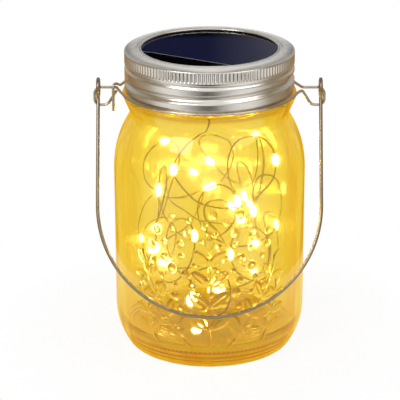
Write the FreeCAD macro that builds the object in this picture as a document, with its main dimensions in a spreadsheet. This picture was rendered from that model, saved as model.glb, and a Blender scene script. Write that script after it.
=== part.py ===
import FreeCAD, Part
import math
import os
import re
import Sketcher

# Solar lantern in a mason jar: a threaded glass jar with a wire hoop and bail, a screw band
# that holds a solar insert on the rim, and a string of small lamps hanging inside the glass.
# Millimetres; the origin is the centre of the foot, +Z is up and the bail hangs to -Y.

os.makedirs("parts", exist_ok=True)
doc = FreeCAD.newDocument("jar_lantern")

SIZES = {
    # glass jar
    "jar_radius": 41.7, "jar_wall": 3.3, "body_top": 80.0, "heel_rise": 17.0,
    "foot_outer": 36.5, "foot_inner": 31.0, "push_up": 2.0, "floor_top": 6.0, "inner_heel": 10.0,
    "shoulder_radius": 44.0, "neck_radius": 34.5, "neck_fillet": 4.5, "mouth_radius": 31.0,
    "mouth_fillet": 6.0, "bead_radius": 37.5, "bead_base": 106.0, "bead_height": 8.3,
    "bead_under": 7.0, "bead_over": 0.2, "finish_radius": 34.3, "rim_top": 129.6, "rim_round": 0.8,
    "thread_pitch": 5.08, "thread_turns": 1.25, "thread_rise": 0.95, "thread_root": 0.3,
    "thread_base": 3.0, "thread_crest": 1.2, "thread_start": 120.86,
    # screw band
    "band_radius": 36.5, "band_sheet": 0.35, "band_bottom": 114.7, "band_top": 133.6, "band_opening": 29.2,
    "band_tuck": 0.65, "band_tuck_height": 126.1, "band_tuck_half": 0.7, "band_corner": 1.1,
    "corner_slant": 0.7, "lip_width": 1.5, "lip_rise": 0.4, "lip_slant": 0.5, "lip_round": 0.3,
    "groove_start": 119.59, "groove_turns": 0.85, "groove_depth": 1.3, "groove_width": 3.4,
    "groove_floor": 1.2, "groove_root": 0.15,
    # hoop and bail wires
    "hoop_wire": 1.2, "hoop_height": 115.2, "hoop_gap": 2.8, "ear_root": 40.0, "ear_reach": 49.5,
    "pivot_height": 115.5, "ear_drop": 7.9, "ear_bend": 3.0, "ear_waist": 4.0, "root_bend": 1.6,
    "hoop_sweep": 20.0, "strand_gap": 0.3, "tail_length": 10.0, "tail_offset": 1.4,
    "tail_clear": 0.15, "tail_bend": 1.0, "hook_rise": 0.1, "hook_reach": 0.3, "hook_bend": 2.0,
    "hook_share": 0.66, "hook_sweep": 4.0, "ear_share": 0.5,
    "bail_wire": 1.5, "bail_half": 47.9, "bail_leg": 51.0, "bail_gap": 0.3, "eye_radius": 3.55,
    "eye_neck": 2.0,
    # solar insert
    "gasket_height": 0.8, "gasket_inner": 31.4, "gasket_outer": 33.9, "flange_radius": 35.4,
    "flange_height": 2.35, "recess_radius": 30.9, "recess_depth": 1.45, "tray_floor": 1.65,
    "puck_radius": 29.6, "puck_wall": 1.6, "puck_depth": 12.6, "boss_ring": 24.3, "boss_radius": 2.4,
    "pilot_radius": 0.8, "backing_height": 0.5, "panel_radius": 30.7, "cell_side": 42.0,
    "cell_shift": 5.2, "cell_radius": 28.0, "cell_height": 0.2, "lens_height": 0.75, "lead_slot_width": 2.6,
    "lead_slot_length": 5.4, "cover_height": 2.0, "spigot_height": 2.2, "spigot_wall": 1.0,
    "spigot_gap": 0.1, "screw_head": 2.0, "screw_head_height": 1.0, "screw_shank": 0.75,
    "screw_length": 8.0, "drive_length": 2.2, "drive_width": 0.5, "drive_depth": 0.6, "screw_play": 0.4,
    "head_play": 0.3, "head_seat": 0.1, "boss_bite": 0.3, "form_bite": 0.2, "cut_over": 0.5,
    "cell_turn": 30.0,
    # parts inside the insert
    "cell_length": 44.5, "battery_radius": 5.25, "battery_offset": 6.5, "battery_lift": 0.55,
    "nub_radius": 1.9, "nub_height": 0.8, "nub_bite": 0.5, "saddle_place": 12.0, "saddle_width": 3.0,
    "saddle_share": 0.7, "saddle_spread": 1.8, "cradle_play": 0.05, "end_wall": 1.0, "wall_spread": 1.9,
    "wall_margin": 0.8, "wall_shift": 0.2, "contact_spread": 1.7, "contact_lift": 0.3,
    "contact_sheet": 0.4, "contact_width": 7.0, "spring_wire": 0.5, "spring_length": 3.5,
    "spring_radius": 3.4, "spring_taper": 1.4, "spring_turns": 2.0, "board_length": 24.0,
    "board_width": 13.0, "board_height": 1.2, "board_offset": 8.0, "board_lift": 3.2, "post_radius": 1.3,
    "post_inset": 1.6, "chip_length": 4.0, "chip_width": 3.0, "chip_height": 1.6, "coil_radius": 2.4,
    "coil_height": 3.2, "switch_length": 8.4, "switch_width": 3.8, "stem_side": 2.0,
    "switch_travel": 2.5, "slot_play": 0.6, "stem_play": 0.1, "knob_height": 1.6, "knob_margin": 1.2,
    "knob_gap": 0.2, "grommet_offset": 19.5, "grommet_radius": 2.2,
    "grommet_lip": 1.0, "grommet_flare": 1.0, "grommet_collar": 0.8, "string_play": 0.05,
    "lead_wire": 0.9, "lead_spread": 0.9, "lead_slack": 2.0, "lead_inset": 1.5, "lead_run": 3.0,
    "lead_reach": 4.0, "lead_rise": 1.0, "lead_bend": 1.5, "contact_tap": 1.5, "board_tap": 1.0,
    # lamp string
    "string_wire": 0.6, "string_run": 7.0, "string_bend": 2.5, "swell_beats": 5.3, "ripple_beats": 11.7,
    "ripple_share": 0.5, "ripple_phase": 1.0, "loop_radius": 15.0, "loop_swing": 2.5, "loop_depth": 5.0,
    "loop_count": 17, "tangle_top": 85.0, "tangle_bottom": 27.0, "guide_top": 21.0, "guide_bottom": 28.0,
    "guide_turns": 3.05, "drop_count": 28, "drop_length": 5.0, "drop_width": 3.0, "first_drop": 30.0,
}

sheet = doc.addObject("Spreadsheet::Sheet", "sizes")
for row, (name, size) in enumerate(SIZES.items(), start=1):
    sheet.set("A%d" % row, name)
    sheet.set("B%d" % row, "%g" % size)
    sheet.setAlias("B%d" % row, name)
doc.recompute()
size = {name: float(getattr(sheet, name)) for name in SIZES}


def bound(text):
    """The expression with each size name pointed at its cell in the sheet."""
    return re.sub(r"[a-z_]+", lambda m: ("sizes." if m.group(0) in SIZES else "") + m.group(0), str(text))


def value(text):
    """The number an expression comes to with the sizes in the sheet."""
    return float(sheet.evalExpression(bound(text)))


def vector(across, along, up):
    """A point or direction in millimetres."""
    return FreeCAD.Vector(across, along, up)


def new_body(label):
    """An empty body that becomes the node of that name."""
    body = doc.addObject("PartDesign::Body", label)
    body.Label = label
    return body


def origin_feature(body, role):
    """The origin plane or axis of a body with that role."""
    return next(f for f in body.Origin.OriginFeatures if f.Role == role)


def closed_sketch(body, name, role, corners):
    """A closed profile through corners (across, up, bend): bend is the radius of the side that
    follows and the way it turns (1 left, -1 right), or None for a straight side."""
    sketch = body.newObject("Sketcher::SketchObject", name)
    sketch.AttachmentSupport = [(origin_feature(body, role), "")]
    sketch.MapMode = "FlatFace"
    places = [vector(value(a), value(u), 0) for a, u, bend in corners]
    ends = []
    for i, (a, u, bend) in enumerate(corners):
        start, stop = places[i], places[(i + 1) % len(places)]
        if bend is None:
            sketch.addGeometry(Part.LineSegment(start, stop), False)
            ends.append((1, 2))
            continue
        radius, turn = value(bend[0]), bend[1]
        chord = stop - start
        side = vector(-chord.y, chord.x, 0).normalize()
        centre = start + chord * 0.5 + side * (turn * math.sqrt(max(radius**2 - chord.Length**2 / 4, 0.0)))
        first, last = (start, stop) if turn > 0 else (stop, start)
        angles = [math.atan2(p.y - centre.y, p.x - centre.x) for p in (first, last)]
        circle = Part.Circle(centre, vector(0, 0, 1), radius)
        sketch.addGeometry(Part.ArcOfCircle(circle, angles[0], angles[1]), False)
        ends.append((1, 2) if turn > 0 else (2, 1))
    for i in range(len(corners)):
        after = (i + 1) % len(corners)
        sketch.addConstraint(Sketcher.Constraint("Coincident", i, ends[i][1], after, ends[after][0]))
    for i, (a, u, bend) in enumerate(corners):
        pairs = [("DistanceX", a, places[i].x), ("DistanceY", u, places[i].y)]
        for kind, text, number in pairs:
            row = sketch.addConstraint(Sketcher.Constraint(kind, -1, 1, i, ends[i][0], number))
            sketch.setExpression("Constraints[%d]" % row, bound(text))
        if bend is not None:
            row = sketch.addConstraint(Sketcher.Constraint("Radius", i, value(bend[0])))
            sketch.setExpression("Constraints[%d]" % row, bound(bend[0]))
    sketch.Visibility = False
    return sketch


def turned(label, corners):
    """A body turned about the vertical axis from a profile of (radius, height, bend) corners."""
    body = new_body(label)
    sketch = closed_sketch(body, label + "_profile", "XZ_Plane", corners)
    spin = body.newObject("PartDesign::Revolution", label + "_turn")
    spin.Profile = sketch
    spin.ReferenceAxis = (sketch, ["V_Axis"])
    spin.Angle = 360
    body.Tip = spin
    return body


def wind(body, kind, name, role, corners, turns):
    """A ridge or groove of that profile wound right-handed round the vertical axis of a body."""
    sketch = closed_sketch(body, name + "_profile", role, corners)
    helix = body.newObject("PartDesign::" + kind, name)
    helix.Profile = sketch
    helix.ReferenceAxis = (sketch, ["V_Axis"])
    helix.Mode = "pitch-turns-angle"
    helix.setExpression("Pitch", bound("thread_pitch"))
    helix.setExpression("Turns", bound(turns))
    helix.LeftHanded = False
    helix.Reversed = False
    body.Tip = helix
    return helix


def block(name, sides, middle):
    """A box with those sides, centred across and along and standing on the height given last."""
    box = doc.addObject("Part::Box", name)
    for side, text in zip(("Length", "Width", "Height"), sides):
        box.setExpression(side, bound(text))
    box.setExpression("Placement.Base.x", bound("(%s) - (%s) / 2" % (middle[0], sides[0])))
    box.setExpression("Placement.Base.y", bound("(%s) - (%s) / 2" % (middle[1], sides[1])))
    box.setExpression("Placement.Base.z", bound(middle[2]))
    return box


def rod(name, radius, height, foot, along_x=False):
    """A cylinder standing on foot, or lying along X from foot."""
    cylinder = doc.addObject("Part::Cylinder", name)
    cylinder.setExpression("Radius", bound(radius))
    cylinder.setExpression("Height", bound(height))
    if along_x:
        cylinder.Placement = FreeCAD.Placement(vector(0, 0, 0), FreeCAD.Rotation(vector(0, 1, 0), 90))
    for axis, text in zip("xyz", foot):
        cylinder.setExpression("Placement.Base." + axis, bound(text))
    return cylinder


def joined(label, pieces):
    """The pieces made into one solid."""
    fusion = doc.addObject("Part::MultiFuse", label)
    fusion.Shapes = pieces
    fusion.Label = label
    return fusion


def gathered(label, pieces):
    """Separate pieces kept together under one name."""
    group = doc.addObject("Part::Compound", label)
    group.Links = pieces
    group.Label = label
    return group


def cut(label, base, tool):
    """The base with the tool taken out of it."""
    result = doc.addObject("Part::Cut", label)
    result.Base = base
    result.Tool = tool
    result.Label = label
    return result


def arc_edge(start, corner, stop):
    """The circular arc that leaves start towards corner and reaches stop coming from corner."""
    reach = (corner - start).Length
    weight = (stop - start).Length / (2 * reach)
    middle = (start * 0.5 + corner * weight + stop * 0.5) * (1 / (1 + weight))
    if (middle - (start + stop) * 0.5).Length < 1e-6:
        return Part.LineSegment(start, stop).toShape()
    return Part.Arc(start, middle, stop).toShape()


def bent_route(points, bends):
    """Straight runs through the points, joined at each inner point by a tangent arc of that bend."""
    edges = []
    here = points[0]
    for i in range(1, len(points) - 1):
        before = points[i - 1] - points[i]
        after = points[i + 1] - points[i]
        turn = math.pi - before.getAngle(after)
        reach = min(bends[i - 1] * math.tan(turn / 2), 0.45 * min(before.Length, after.Length))
        start = points[i] + before.normalize() * reach
        stop = points[i] + after.normalize() * reach
        edges.append(Part.LineSegment(here, start).toShape())
        edges.append(arc_edge(start, points[i], stop))
        here = stop
    edges.append(Part.LineSegment(here, points[-1]).toShape())
    return edges


def biarc_route(points, headings):
    """Pairs of arcs through the points, each leaving and reaching a point along its heading."""
    edges = []
    for start, out, stop, into in zip(points, headings, points[1:], headings[1:]):
        span = stop - start
        both = out + into
        spread = 2 * (1 - out.dot(into))
        if spread < 1e-9:
            reach = span.dot(span) / (2 * span.dot(both))
        else:
            lean = span.dot(both)
            reach = (math.sqrt(lean**2 + spread * span.dot(span)) - lean) / spread
        first, last = start + out * reach, stop - into * reach
        joint = (first + last) * 0.5
        edges.append(arc_edge(start, first, joint))
        edges.append(arc_edge(joint, last, stop))
    return edges


def round_wire(edges, diameter):
    """A solid round wire drawn along the edges."""
    start = edges[0].valueAt(edges[0].FirstParameter)
    heading = edges[0].tangentAt(edges[0].FirstParameter)
    ring = Part.Wire([Part.makeCircle(diameter / 2, start, heading)])
    return Part.Wire(edges).makePipeShell([ring], True, False)


def shaped(label, shape):
    """A node whose shape is worked out here from the sizes in the sheet."""
    feature = doc.addObject("Part::Feature", label)
    feature.Shape = shape
    feature.Placement = FreeCAD.Placement()
    feature.Label = label
    return feature


nodes = []

# Glass jar: one wall thick all over, heel and shoulder drawn as tangent arcs, with a flared bead under
# the finish that carries the hoop and one and a quarter turns of thread for the band.
INNER = "(jar_radius - jar_wall)"
HEEL = "((jar_radius - foot_outer)^2 + heel_rise^2) / (2 * (jar_radius - foot_outer))"
CUP = "(foot_inner^2 + push_up^2) / (2 * push_up)"
DROP = "((jar_radius - neck_radius) / (shoulder_radius + neck_fillet))"
SINE = "sqrt(1 - (1 - %s)^2)" % DROP
IN_SHOULDER = "(shoulder_radius - jar_wall)"
IN_DROP = "((%s - mouth_radius) / (%s + mouth_fillet))" % (INNER, IN_SHOULDER)
IN_SINE = "sqrt(1 - (1 - %s)^2)" % IN_DROP
BEAD_TOP = "(bead_base + bead_height)"
jar = turned("glass_jar", [
    ("0", "push_up", (CUP, -1)),
    ("foot_inner", "0", None),
    ("foot_outer", "0", (HEEL, 1)),
    ("jar_radius", "heel_rise", None),
    ("jar_radius", "body_top", ("shoulder_radius", 1)),
    ("jar_radius - shoulder_radius * " + DROP, "body_top + shoulder_radius * " + SINE, ("neck_fillet", -1)),
    ("neck_radius", "body_top + (shoulder_radius + neck_fillet) * " + SINE, None),
    ("neck_radius", "bead_base", None),
    ("bead_radius", "bead_base + bead_under", None),
    ("bead_radius", BEAD_TOP, None),
    ("finish_radius", BEAD_TOP + " + bead_over", None),
    ("finish_radius", "rim_top - rim_round", ("rim_round", 1)),
    ("finish_radius - rim_round", "rim_top", None),
    ("mouth_radius + rim_round", "rim_top", ("rim_round", 1)),
    ("mouth_radius", "rim_top - rim_round", None),
    ("mouth_radius", "body_top + (%s + mouth_fillet) * %s" % (IN_SHOULDER, IN_SINE), ("mouth_fillet", 1)),
    (INNER + " - %s * %s" % (IN_SHOULDER, IN_DROP), "body_top + %s * %s" % (IN_SHOULDER, IN_SINE),
     (IN_SHOULDER, -1)),
    (INNER, "body_top", None),
    (INNER, "floor_top + inner_heel", ("inner_heel", -1)),
    (INNER + " - inner_heel", "floor_top", None),
    ("0", "floor_top", None),
])
wind(jar, "AdditiveHelix", "jar_thread", "YZ_Plane", [
    ("finish_radius - thread_root", "thread_start - thread_base / 2", None),
    ("finish_radius + thread_rise", "thread_start - thread_crest / 2", None),
    ("finish_radius + thread_rise", "thread_start + thread_crest / 2", None),
    ("finish_radius - thread_root", "thread_start + thread_base / 2", None),
], "thread_turns")
nodes.append(jar)

# Screw band: thin sheet turned over the insert, with a rolled lip round the opening, a tuck under
# the grip and a rolled helical groove that runs half a pitch below the thread on the glass.
SKIRT = "(band_radius - band_sheet)"
TUCK_LOW = "(band_tuck_height - band_tuck_half)"
TUCK_HIGH = "(band_tuck_height + band_tuck_half)"
CHANNEL = "(band_top - lip_rise)"
band = turned("screw_band", [
    (SKIRT, "band_bottom", None),
    ("band_radius", "band_bottom", None),
    ("band_radius", TUCK_LOW, None),
    ("band_radius - band_tuck", "band_tuck_height", None),
    ("band_radius", TUCK_HIGH, None),
    ("band_radius", "band_top - band_corner", ("band_corner", 1)),
    ("band_radius - band_corner", "band_top", None),
    ("band_radius - band_corner - corner_slant", CHANNEL, None),
    ("band_opening + lip_width", CHANNEL, None),
    ("band_opening + lip_width - lip_slant", "band_top", None),
    ("band_opening + lip_round", "band_top", ("lip_round", 1)),
    ("band_opening", "band_top - lip_round", None),
    ("band_opening", CHANNEL + " - band_sheet", None),
    (SKIRT, CHANNEL + " - band_sheet", None),
    (SKIRT, TUCK_HIGH + " + band_sheet", None),
    (SKIRT + " - band_tuck", "band_tuck_height", None),
    (SKIRT, TUCK_LOW + " - band_sheet", None),
])
wind(band, "AdditiveHelix", "band_ridge", "XZ_Plane", [
    ("-(%s + groove_root)" % SKIRT, "groove_start + groove_width / 2 + band_sheet", None),
    ("-(%s + groove_root)" % SKIRT, "groove_start - groove_width / 2 - band_sheet", None),
    ("-(%s - groove_depth)" % SKIRT, "groove_start - groove_floor / 2 - band_sheet / 2", None),
    ("-(%s - groove_depth)" % SKIRT, "groove_start + groove_floor / 2 + band_sheet / 2", None),
], "groove_turns")
wind(band, "SubtractiveHelix", "band_groove", "XZ_Plane", [
    ("-(band_radius + groove_root)", "groove_start + groove_width / 2", None),
    ("-(band_radius + groove_root)", "groove_start - groove_width / 2", None),
    ("-(band_radius - groove_depth)", "groove_start - groove_floor / 2", None),
    ("-(band_radius - groove_depth)", "groove_start + groove_floor / 2", None),
], "groove_turns")
nodes.append(band)

# Neck hoop: one length of wire round the neck on top of the bead, bent out on each side into an ear,
# with its first end hooked over the left ear and left hanging as a tail.
hoop_ring = size["neck_radius"] + size["hoop_gap"] + size["hoop_wire"] / 2
hoop_up = size["hoop_height"]
pivot = size["pivot_height"]
root = size["ear_root"]
lean = math.acos(hoop_ring / root)
strand_step = size["hoop_wire"] + size["strand_gap"]


def on_hoop(angle):
    """The point of the hoop at that angle round the neck."""
    return vector(hoop_ring * math.cos(angle), hoop_ring * math.sin(angle), hoop_up)


def toward_root(start, side, share):
    """The point that share of the way along the hoop's tangent from start to the ear root."""
    return start + (vector(side * root, 0, hoop_up) - start) * share


def ear_corners(side):
    """Corners of an ear from its upper strand round the outer bight to its lower strand."""
    low = pivot - size["ear_drop"]
    return [
        vector(side * root, 0, pivot),
        vector(side * size["ear_reach"], 0, pivot),
        vector(side * size["ear_reach"], 0, low),
        vector(side * (root + size["ear_waist"]), 0, low),
        vector(side * root, 0, pivot - strand_step),
    ]


back_left, back_right = on_hoop(math.pi - lean), on_hoop(lean)
front_right, front_left = on_hoop(-lean), on_hoop(lean - math.pi)
tail = root + size["tail_offset"]
sweep, root_bend, ear_bend = size["hoop_sweep"], size["root_bend"], size["ear_bend"]
tail_front = -strand_step - size["tail_clear"]
hook_rise, hook_reach, ear_share = size["hook_rise"], size["hook_reach"], size["ear_share"]
hook = bent_route([
    vector(-tail, tail_front, pivot - size["tail_length"]),
    vector(-tail, tail_front, pivot + strand_step - hook_rise),
    vector(-root - hook_reach, hook_reach, pivot + strand_step + hook_rise),
    toward_root(back_left, -1, size["hook_share"]),
    back_left,
], [size["tail_bend"], size["hook_bend"], size["hook_sweep"]])
right_ear = bent_route(
    [back_right, toward_root(back_right, 1, ear_share)] + ear_corners(1)
    + [toward_root(front_right, 1, ear_share), front_right],
    [sweep, root_bend, ear_bend, ear_bend, ear_bend, root_bend, sweep])
left_ear = bent_route(
    [front_left, toward_root(front_left, -1, ear_share)] + ear_corners(-1),
    [sweep, root_bend, ear_bend, ear_bend, ear_bend])
back_half = [Part.Arc(back_left, on_hoop(math.pi / 2), back_right).toShape()]
front_half = [Part.Arc(front_right, on_hoop(-math.pi / 2), front_left).toShape()]
nodes.append(shaped("neck_hoop", round_wire(hook + back_half + right_ear + front_half + left_ear,
                                            size["hoop_wire"])))

# Bail: one length of stouter wire, straight legs and a half-round bow, with each end curled into
# an eye round the upper strand of an ear; it hangs forward until the bow meets the glass.
eye, curl = size["eye_radius"], size["eye_neck"]
bail_half, bail_leg = size["bail_half"], size["bail_leg"]
tilt = math.asin((size["jar_radius"] + size["bail_gap"] + size["bail_wire"] / 2) / (bail_leg + bail_half))
eye_drop = math.sqrt((eye + curl) ** 2 - curl**2)


def on_bail(across, out, down):
    """A point of the bail given across, out of its plane and down its plane from the pivot."""
    along = -out * math.cos(tilt) - down * math.sin(tilt)
    return vector(across, along, pivot + out * math.sin(tilt) - down * math.cos(tilt))


def on_eye(across, angle):
    """The point of an eye at that angle from straight down its plane."""
    return on_bail(across, eye * math.sin(angle), eye * math.cos(angle))


def eye_edges(across):
    """The bend from the top of a leg into the eye, and the eye round to its free end."""
    meet = math.atan2(curl, eye_drop)
    end = math.radians(330)
    turn = math.pi / 2 - meet
    bend = on_bail(across, curl - curl * math.cos(turn / 2), eye_drop - curl * math.sin(turn / 2))
    leg_top = on_bail(across, 0, eye_drop)
    neck = (leg_top, bend, on_eye(across, meet))
    ring = (on_eye(across, meet), on_eye(across, (meet + end) / 2), on_eye(across, end))
    return neck, ring


left_neck, left_ring = eye_edges(-bail_half)
right_neck, right_ring = eye_edges(bail_half)
left_foot, right_foot = on_bail(-bail_half, 0, bail_leg), on_bail(bail_half, 0, bail_leg)
bail_route = [
    Part.Arc(*reversed(left_ring)).toShape(),
    Part.Arc(*reversed(left_neck)).toShape(),
    Part.LineSegment(left_neck[0], left_foot).toShape(),
    Part.Arc(left_foot, on_bail(0, 0, bail_leg + bail_half), right_foot).toShape(),
    Part.LineSegment(right_foot, right_neck[0]).toShape(),
    Part.Arc(*right_neck).toShape(),
    Part.Arc(*right_ring).toShape(),
]
nodes.append(shaped("bail_handle", round_wire(bail_route, size["bail_wire"])))

# Solar insert: a gasket on the rim, a housing whose flange lies on the gasket and whose cup hangs
# in the mouth, and the panel laid in the recess on top as backing, cell and clear lens.
FLANGE = "(rim_top + gasket_height)"
FLANGE_TOP = "(%s + flange_height)" % FLANGE
RECESS = "(%s - recess_depth)" % FLANGE_TOP
TRAY = "(%s - tray_floor)" % RECESS
CUP_END = "(%s - puck_depth)" % FLANGE
COVER = "(%s - cover_height)" % CUP_END
CUP_INNER = "(puck_radius - puck_wall)"
nodes.append(cut(
    "rim_gasket",
    rod("gasket_disc", "gasket_outer", "gasket_height", ("0", "0", "rim_top")),
    rod("gasket_hole", "gasket_inner", "gasket_height", ("0", "0", "rim_top")),
))
cup = turned("housing_cup", [
    ("0", TRAY, None),
    (CUP_INNER, TRAY, None),
    (CUP_INNER, CUP_END, None),
    ("puck_radius", CUP_END, None),
    ("puck_radius", FLANGE, None),
    ("flange_radius", FLANGE, None),
    ("flange_radius", FLANGE_TOP, None),
    ("recess_radius", FLANGE_TOP, None),
    ("recess_radius", RECESS, None),
    ("0", RECESS, None),
])
boss_angles = (90, -30, 210)
boss_places = [("boss_ring * cos(%d)" % a, "boss_ring * sin(%d)" % a) for a in boss_angles]
bosses = [rod("boss_%d" % i, "boss_radius", "%s - %s + boss_bite" % (TRAY, CUP_END), place + (CUP_END,))
          for i, place in enumerate(boss_places)]
pilots = [rod("pilot_%d" % i, "pilot_radius", "screw_length", place + (CUP_END,))
          for i, place in enumerate(boss_places)]
LEADS_X = "(lead_inset - board_length / 2)"
lead_hole = block("lead_hole", ("lead_slot_width", "lead_slot_length", "tray_floor + 2 * cut_over"),
                  (LEADS_X, "-board_offset", TRAY + " - cut_over"))
nodes.append(cut("lid_housing", joined("housing_solid", [cup] + bosses),
                 gathered("housing_holes", pilots + [lead_hole])))
backing = rod("panel_backing", "panel_radius", "backing_height", ("0", "0", RECESS))
nodes.append(backing)
CELL = "(%s + backing_height)" % RECESS
wafer = block("wafer", ("cell_side", "cell_side", "cell_height"), ("0", "0", CELL))
wafer.Placement.Rotation = FreeCAD.Rotation(vector(0, 0, 1), -size["cell_turn"])
CELL_EDGE = "(cell_side / 2 - cell_shift)"
CELL_X = "-cell_side / 2 * cos(cell_turn) - %s * sin(cell_turn)" % CELL_EDGE
CELL_Y = "cell_side / 2 * sin(cell_turn) - %s * cos(cell_turn)" % CELL_EDGE
wafer.setExpression("Placement.Base.x", bound(CELL_X))
wafer.setExpression("Placement.Base.y", bound(CELL_Y))
wafer_round = rod("wafer_round", "cell_radius", "cell_height", ("0", "0", CELL))
solar_cell = doc.addObject("Part::Common", "solar_cell")
solar_cell.Base = wafer
solar_cell.Tool = wafer_round
nodes.append(solar_cell)
lens_disc = rod("lens_disc", "panel_radius", "lens_height", ("0", "0", CELL))
nodes.append(cut("panel_lens", lens_disc, solar_cell))

# Bottom cover: closes the cup with three screws, and carries the battery cradle, the board posts,
# the slot of the switch and the hole of the string.
CRADLE = "(%s + battery_lift + battery_radius)" % CUP_END
END_WALL = "(cell_length / 2 + spring_length / 2 + contact_sheet)"
plate = turned("cover_plate", [
    ("0", COVER, None),
    ("puck_radius", COVER, None),
    ("puck_radius", CUP_END, None),
    (CUP_INNER + " - spigot_gap", CUP_END, None),
    (CUP_INNER + " - spigot_gap", CUP_END + " + spigot_height", None),
    (CUP_INNER + " - spigot_gap - spigot_wall", CUP_END + " + spigot_height", None),
    (CUP_INNER + " - spigot_gap - spigot_wall", CUP_END, None),
    ("0", CUP_END, None),
])
SADDLE_HEIGHT = "battery_lift + battery_radius * saddle_share + form_bite"
WALL_HEIGHT = "battery_radius * wall_spread + form_bite"
COVER_CUT = COVER + " - cut_over"
COVER_BITE = CUP_END + " - form_bite"
saddles = [block("saddle_%d" % i, ("saddle_width", "battery_radius * saddle_spread", SADDLE_HEIGHT),
                 (side + " * saddle_place", "battery_offset", COVER_BITE))
           for i, side in enumerate(("-1", "1"))]
walls = [block("end_wall_%d" % i, ("end_wall", "contact_width - wall_margin", WALL_HEIGHT),
               ("%s * (%s + end_wall / 2)" % (side, END_WALL), "battery_offset + wall_shift", COVER_BITE))
         for i, side in enumerate(("-1", "1"))]
posts = [rod("post_%d" % i, "post_radius", "board_lift + form_bite",
             ("%s * (board_length / 2 - post_inset)" % a,
              "-board_offset + %s * (board_width / 2 - post_inset)" % b, COVER_BITE))
         for i, (a, b) in enumerate((("-1", "-1"), ("1", "-1"), ("1", "1"), ("-1", "1")))]
cradle_bore = rod("cradle_bore", "battery_radius + cradle_play", "cell_length",
                  ("-cell_length / 2", "battery_offset", CRADLE), True)
cradle = cut("cradle", joined("saddle_pair", saddles), cradle_bore)
COVER_THROUGH = "cover_height + 2 * cut_over"
screw_holes = [rod("screw_hole_%d" % i, "pilot_radius + screw_play", COVER_THROUGH, place + (COVER_CUT,))
               for i, place in enumerate(boss_places)]
head_holes = [rod("head_hole_%d" % i, "screw_head + head_play", "screw_head_height + head_seat + cut_over",
                  place + (COVER_CUT,))
              for i, place in enumerate(boss_places)]
SLOT_LENGTH, SLOT_WIDTH = "stem_side + switch_travel + slot_play", "stem_side + slot_play"
slot = block("switch_slot", (SLOT_LENGTH, SLOT_WIDTH, COVER_THROUGH), ("0", "-board_offset", COVER_CUT))
string_hole = rod("string_hole", "grommet_radius", COVER_THROUGH, ("0", "-grommet_offset", COVER_CUT))
nodes.append(cut("bottom_cover", joined("cover_solid", [plate, cradle] + walls + posts),
                 gathered("cover_holes", screw_holes + head_holes + [slot, string_hole])))

HEAD_SEAT = COVER + " + head_seat"
SHANK_SEAT = HEAD_SEAT + " + screw_head_height / 2"
screws = []
for i, place in enumerate(boss_places):
    head = rod("screw_head_%d" % i, "screw_head", "screw_head_height", place + (HEAD_SEAT,))
    shank = rod("screw_shank_%d" % i, "screw_shank", "screw_length", place + (SHANK_SEAT,))
    drive = [block("drive_%d_%d" % (i, j), sides, place + (COVER,))
             for j, sides in enumerate((("drive_length", "drive_width", "drive_depth"),
                                       ("drive_width", "drive_length", "drive_depth")))]
    screws.append(cut("screw_%d" % i, joined("screw_solid_%d" % i, [head, shank]),
                      gathered("drives_%d" % i, drive)))
nodes.append(gathered("cover_screws", screws))

# Battery: a slim rechargeable cell lying across the cup, its nub on one contact plate and its
# other end pushed by a conical spring on the other plate.
NUB_END = "(%s - contact_sheet)" % END_WALL
can = rod("battery_can", "battery_radius", "cell_length - nub_height",
          (NUB_END + " - cell_length", "battery_offset", CRADLE), True)
nub = rod("battery_nub", "nub_radius", "nub_height + nub_bite",
          (NUB_END + " - nub_height - nub_bite", "battery_offset", CRADLE), True)
nodes.append(joined("battery_cell", [can, nub]))
for label, side in (("plus_contact", "1"), ("minus_contact", "-1")):
    nodes.append(block(label, ("contact_sheet", "contact_width", "battery_radius * contact_spread"),
                       ("%s * (%s - contact_sheet / 2)" % (side, END_WALL), "battery_offset",
                        CUP_END + " + contact_lift")))

wall_face = value(NUB_END)
cradle_up = value(CRADLE)
spring_turns = int(size["spring_turns"])
spring_gap = size["spring_wire"] / 2


def on_spring(share):
    """Conical coil: the radius shrinks and the coil moves towards the battery with the share."""
    angle = 2 * math.pi * spring_turns * share
    radius = size["spring_radius"] - size["spring_taper"] * share
    along = -wall_face + spring_gap + (size["spring_length"] - size["spring_wire"]) * share
    across = size["battery_offset"] + radius * math.cos(angle)
    return vector(along, across, cradle_up + radius * math.sin(angle))


def heading_at(curve, share):
    """The direction of travel of a curve at that share of its length."""
    step = 1e-5
    return (curve(share + step) - curve(share - step)).normalize()


spring_shares = [i / (4 * spring_turns) for i in range(4 * spring_turns + 1)]
spring_points = [on_spring(k) for k in spring_shares]
spring_headings = [heading_at(on_spring, k) for k in spring_shares]
spring_edges = biarc_route(spring_points, spring_headings)
nodes.append(shaped("minus_spring", round_wire(spring_edges, size["spring_wire"])))

# Circuit board on its posts, with the control chip, the coil and the slide switch under it.
BOARD = "(%s + board_lift)" % CUP_END
BOARD_TOP = "(%s + board_height)" % BOARD
nodes.append(block("circuit_board", ("board_length", "board_width", "board_height"),
                   ("0", "-board_offset", BOARD)))
nodes.append(block("control_chip", ("chip_length", "chip_width", "chip_height"),
                   ("-board_length / 8", "board_width / 5 - board_offset", BOARD_TOP)))
nodes.append(rod("coil_inductor", "coil_radius", "coil_height",
                 ("board_length / 5", "board_width / 9 - board_offset", BOARD_TOP)))
switch_case = block("switch_case", ("switch_length", "switch_width", "board_lift"),
                    ("0", "-board_offset", CUP_END))
switch_well = block("switch_well", (SLOT_LENGTH, SLOT_WIDTH, "board_lift / 2"),
                    ("0", "-board_offset", CUP_END))
nodes.append(cut("switch_body", switch_case, switch_well))
stem = block("switch_stem", ("stem_side", "stem_side", "cover_height + board_lift / 2 - stem_play"),
             ("switch_travel / 2", "-board_offset", COVER + " - knob_gap"))
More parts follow.
